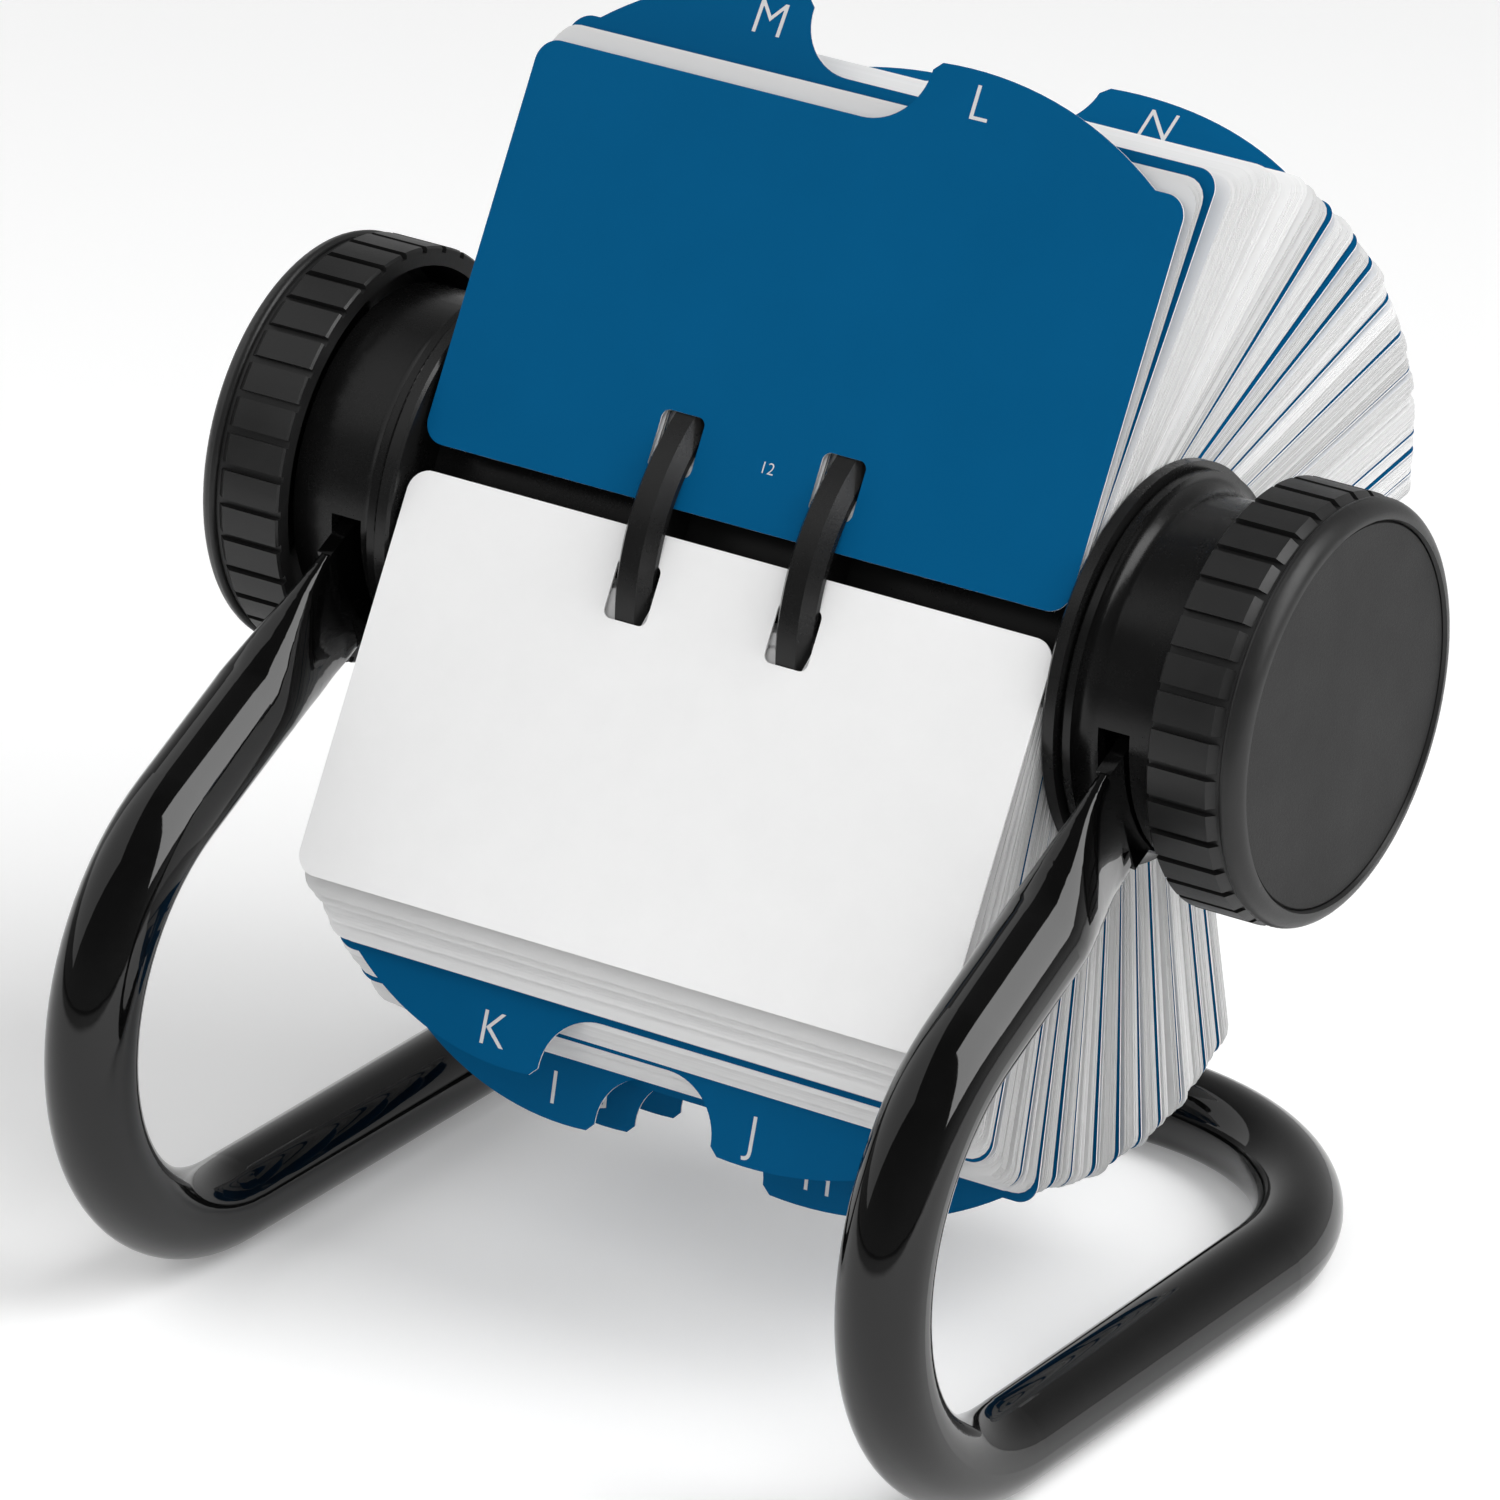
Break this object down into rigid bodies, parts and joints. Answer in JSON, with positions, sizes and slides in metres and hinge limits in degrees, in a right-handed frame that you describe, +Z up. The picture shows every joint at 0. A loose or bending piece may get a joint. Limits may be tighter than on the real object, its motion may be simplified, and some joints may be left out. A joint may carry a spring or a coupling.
{
  "type": "rotary card file",
  "caption": "Open rotary card file: index cards and letter guides hooked over the two rings of a wheel that turns by its knobs in a bent tube stand.",
  "frame": {"origin": "on the desk surface below the middle of the axle", "axes": "+X along the axle towards the right knob, -Y towards the user at the open front, +Z up"},
  "size_m": [0.1644, 0.171, 0.1745],
  "materials": {
    "black_enamel": "gloss",
    "black_plastic": "semi-gloss",
    "bush_plastic": "matte",
    "steel": "satin",
    "wheel_plastic": "satin",
    "knob_plastic": "satin",
    "knob_face": "matte",
    "blue_plastic": "semi-gloss",
    "card_stock": "matte"
  },
  "bodies": {
    "frame": {"tube_frame": "black_enamel", "housing_left": "black_plastic", "housing_right": "black_plastic", "bush_left": "bush_plastic", "bush_right": "bush_plastic", "wave_washers": "steel"},
    "wheel": {"wheel_left": "wheel_plastic", "wheel_right": "wheel_plastic", "axle": "steel", "knob_left": "knob_plastic", "knob_right": "knob_plastic", "knob_cap_left": "knob_face", "knob_cap_right": "knob_face", "axle_nuts": "steel", "axle_washers": "steel", "guide_l": "blue_plastic", "guide_m": "blue_plastic", "guide_n": "blue_plastic", "guide_o": "blue_plastic", "guide_p": "blue_plastic", "guide_q": "blue_plastic", "guide_r": "blue_plastic", "guide_s": "blue_plastic", "guide_t": "blue_plastic", "guide_uv": "blue_plastic", "guide_w": "blue_plastic", "guide_xy": "blue_plastic", "guide_z": "blue_plastic", "guide_a": "blue_plastic", "guide_b": "blue_plastic", "guide_c": "blue_plastic", "guide_d": "blue_plastic", "guide_e": "blue_plastic", "guide_f": "blue_plastic", "guide_g": "blue_plastic", "guide_h": "blue_plastic", "guide_i": "blue_plastic", "guide_j": "blue_plastic", "guide_k": "blue_plastic", "cards_l_m": "card_stock", "cards_n_o": "card_stock", "cards_p_q": "card_stock", "cards_r_s": "card_stock", "cards_t_uv": "card_stock", "cards_w": "card_stock", "cards_xy_z": "card_stock", "cards_a_b": "card_stock", "cards_c_d": "card_stock", "cards_e_f": "card_stock", "cards_g_h": "card_stock", "cards_i_j": "card_stock", "cards_k": "card_stock"},
    "front_card": {"front_card": "card_stock"}
  },
  "joints": [
    {"name": "wheel_spin", "type": "hinge", "parent": "frame", "child": "wheel", "pos_m": [0, 0, 0.101], "axis": [1, 0, 0], "continuous": true},
    {"name": "front_card_flip", "type": "hinge", "parent": "wheel", "child": "front_card", "pos_m": [0, -0.02505, 0.1072], "axis": [1, 0, 0], "range_deg": [-152, 0]}
  ]
}
